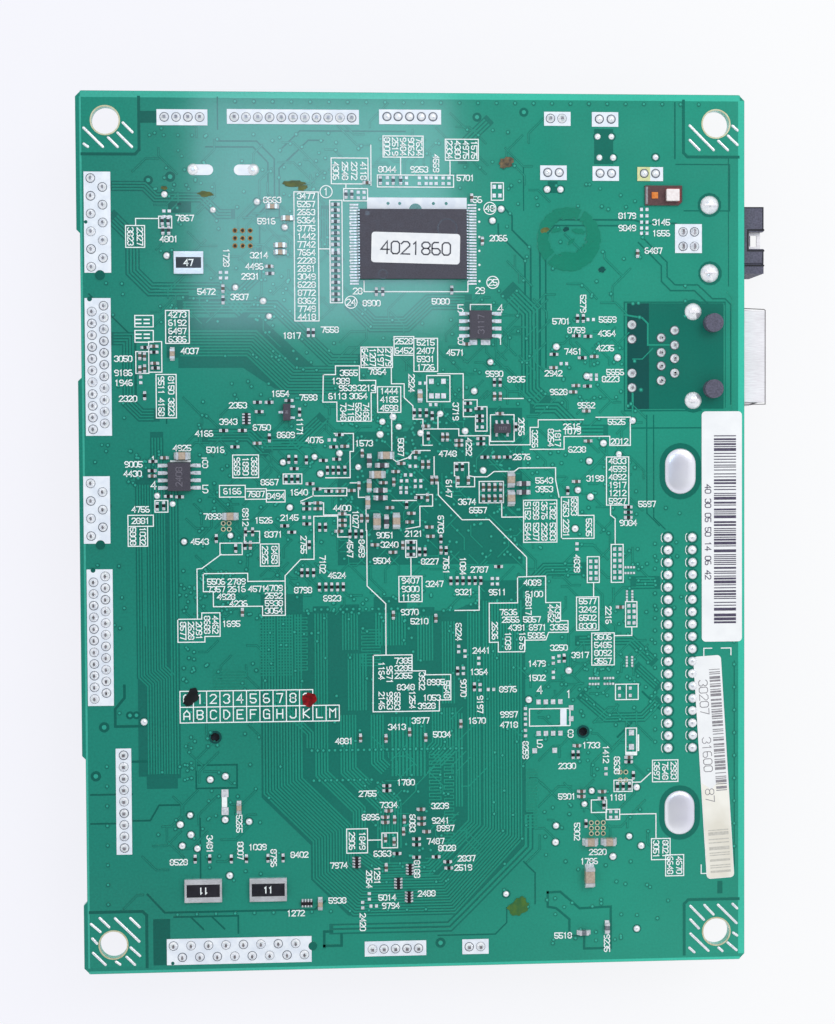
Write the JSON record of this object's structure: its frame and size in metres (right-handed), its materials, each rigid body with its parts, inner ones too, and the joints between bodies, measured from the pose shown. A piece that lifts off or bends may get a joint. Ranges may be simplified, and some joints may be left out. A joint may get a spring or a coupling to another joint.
{
  "type": "printer logic board",
  "caption": "Bare printer control circuit board, solder side up, with network and USB sockets, wire headers and flat cable sockets.",
  "frame": {"origin": "under the middle of the whole part's outline, on the plane of its lowest face, the network socket's shield", "axes": "+Z out of the solder side, +Y up the board's long side, +X towards the edge with the network and USB sockets"},
  "size_m": [0.1192, 0.151, 0.017],
  "materials": {
    "solder_mask": "green glass-epoxy laminate under glossy solder mask",
    "black_plastic": "moulded black nylon",
    "ivory_plastic": "moulded natural nylon",
    "shield_steel": "nickel-plated folded sheet",
    "gold_contact": "gold-plated spring contact",
    "tinned_copper": "dull tinned copper under solder",
    "chip_mould": "black epoxy moulding compound",
    "sticker_paper": "white printed paper",
    "label_film": "white satin label film",
    "resistor_ceramic": "black glazed element on ceramic, tinned ends",
    "capacitor_ceramic": "brown sintered ceramic, tinned ends",
    "large_capacitor_ceramic": "tan sintered ceramic, tinned ends",
    "ferrite": "dark grey sintered ferrite, tinned ends",
    "fuse_body": "pale ceramic, tinned ends",
    "sense_element": "black resin coat",
    "indicator_plate": "purple-brown substrate",
    "indicator_lens": "orange clear resin",
    "indicator_block": "white moulded resin",
    "lamp_green": "translucent resin",
    "can_aluminium": "bright drawn aluminium",
    "coil_powder": "pressed iron powder",
    "processor_laminate": "green package laminate",
    "crystal_steel": "bright nickel-plated can"
  },
  "bodies": {
    "root": {"circuit_board": "solder_mask", "wire_header_4_way": "ivory_plastic", "wire_header_11_way": "ivory_plastic", "wire_header_2_way_top": "ivory_plastic", "wire_header_9_way": "ivory_plastic", "wire_header_5_way": "ivory_plastic", "wire_header_2_way_bottom": "ivory_plastic", "wire_header_pins": "tinned_copper", "cable_socket_11_way": "ivory_plastic", "cable_socket_7_way": "ivory_plastic", "cable_socket_16_way": "ivory_plastic", "flat_cable_socket_upper": "ivory_plastic", "flat_cable_socket_lower": "ivory_plastic", "cable_socket_contacts": "tinned_copper", "flat_cable_contacts": "tinned_copper", "ethernet_shield": "shield_steel", "ethernet_housing": "black_plastic", "ethernet_contacts": "gold_contact", "ethernet_lamps": "lamp_green", "ethernet_lamp_leads": "tinned_copper", "usb_shell": "shield_steel", "usb_nose": "black_plastic", "usb_contacts": "gold_contact", "usb_tongue": "black_plastic", "flash_chip_body": "chip_mould", "flash_chip_leads": "tinned_copper", "flash_chip_sticker": "sticker_paper", "eeprom_chip_body": "chip_mould", "eeprom_chip_leads": "tinned_copper", "driver_chip_body": "chip_mould", "driver_chip_leads": "tinned_copper", "regulator_body": "chip_mould", "regulator_leads": "tinned_copper", "transistor_body": "chip_mould", "transistor_leads": "tinned_copper", "address_label": "label_film", "serial_label": "label_film", "chip_resistors": "resistor_ceramic", "chip_capacitors": "capacitor_ceramic", "medium_chip_capacitors": "large_capacitor_ceramic", "ferrite_beads": "ferrite", "chip_fuses": "fuse_body", "large_chip_capacitors": "large_capacitor_ceramic", "output_capacitor": "large_capacitor_ceramic", "resistor_arrays": "resistor_ceramic", "sense_resistor_bodies": "sense_element", "sense_resistor_caps": "tinned_copper", "indicator_base": "indicator_plate", "indicator_lens": "indicator_lens", "indicator_block": "indicator_block", "capacitor_bases": "black_plastic", "capacitor_cans": "can_aluminium", "processor_substrate": "processor_laminate", "processor_cover": "chip_mould", "memory_chips": "chip_mould", "power_chips": "chip_mould", "power_coils": "coil_powder", "crystal_rim": "crystal_steel", "crystal_can": "crystal_steel", "wire_link": "tinned_copper"}
  },
  "joints": []
}
